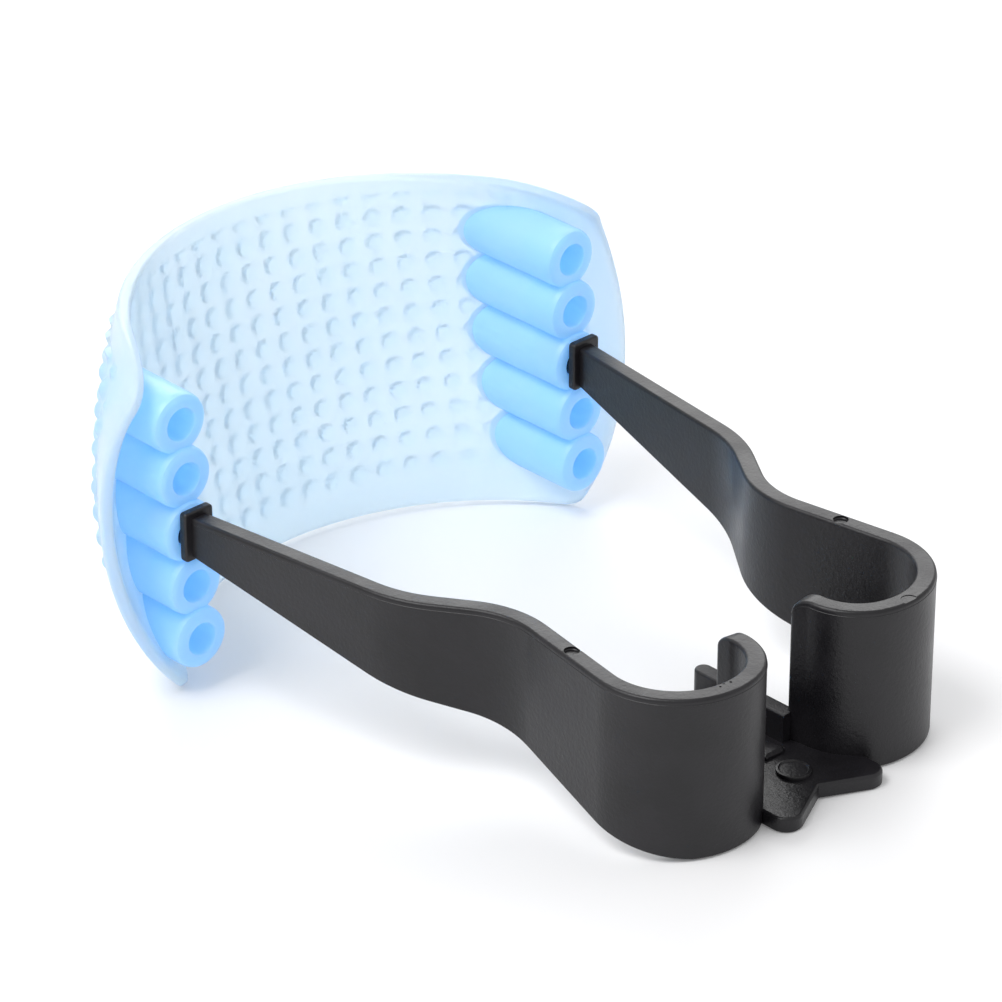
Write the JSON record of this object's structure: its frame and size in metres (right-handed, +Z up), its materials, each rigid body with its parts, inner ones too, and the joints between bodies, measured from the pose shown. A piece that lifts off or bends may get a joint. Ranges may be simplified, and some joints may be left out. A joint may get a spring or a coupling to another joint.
{
  "type": "pop-up flash diffuser",
  "caption": "Curved translucent screen with two columns of rear sockets, plugged on the pins of a springy black bracket whose flat foot slides into a camera's hot shoe.",
  "frame": {"origin": "the middle of the foot's underside, on the plane of symmetry", "axes": "+Z up, +Y forward from the foot to the screen, +X to the right as seen from behind the foot"},
  "size_m": [0.093, 0.1141, 0.0469],
  "materials": {
    "bracket_plastic": "black, fine leather-like texture, satin",
    "screen_plastic": "pale blue, translucent, satin, with small domed bumps on the front"
  },
  "bodies": {
    "bracket": {"foot_plate": "bracket_plastic", "left_neck_wall": "bracket_plastic", "right_neck_wall": "bracket_plastic", "left_spring_loop": "bracket_plastic", "right_spring_loop": "bracket_plastic", "left_arm": "bracket_plastic", "right_arm": "bracket_plastic", "left_collar": "bracket_plastic", "right_collar": "bracket_plastic", "left_pin": "bracket_plastic", "right_pin": "bracket_plastic"},
    "screen": {"screen_panel": "screen_plastic", "left_socket_1": "screen_plastic", "left_socket_2": "screen_plastic", "left_socket_3": "screen_plastic", "left_socket_4": "screen_plastic", "left_socket_5": "screen_plastic", "right_socket_1": "screen_plastic", "right_socket_2": "screen_plastic", "right_socket_3": "screen_plastic", "right_socket_4": "screen_plastic", "right_socket_5": "screen_plastic"}
  },
  "joints": [
    {"name": "screen_pull_off", "type": "slide", "parent": "bracket", "child": "screen", "axis": [0, 1, 0], "range_m": [0, 0.03]}
  ]
}
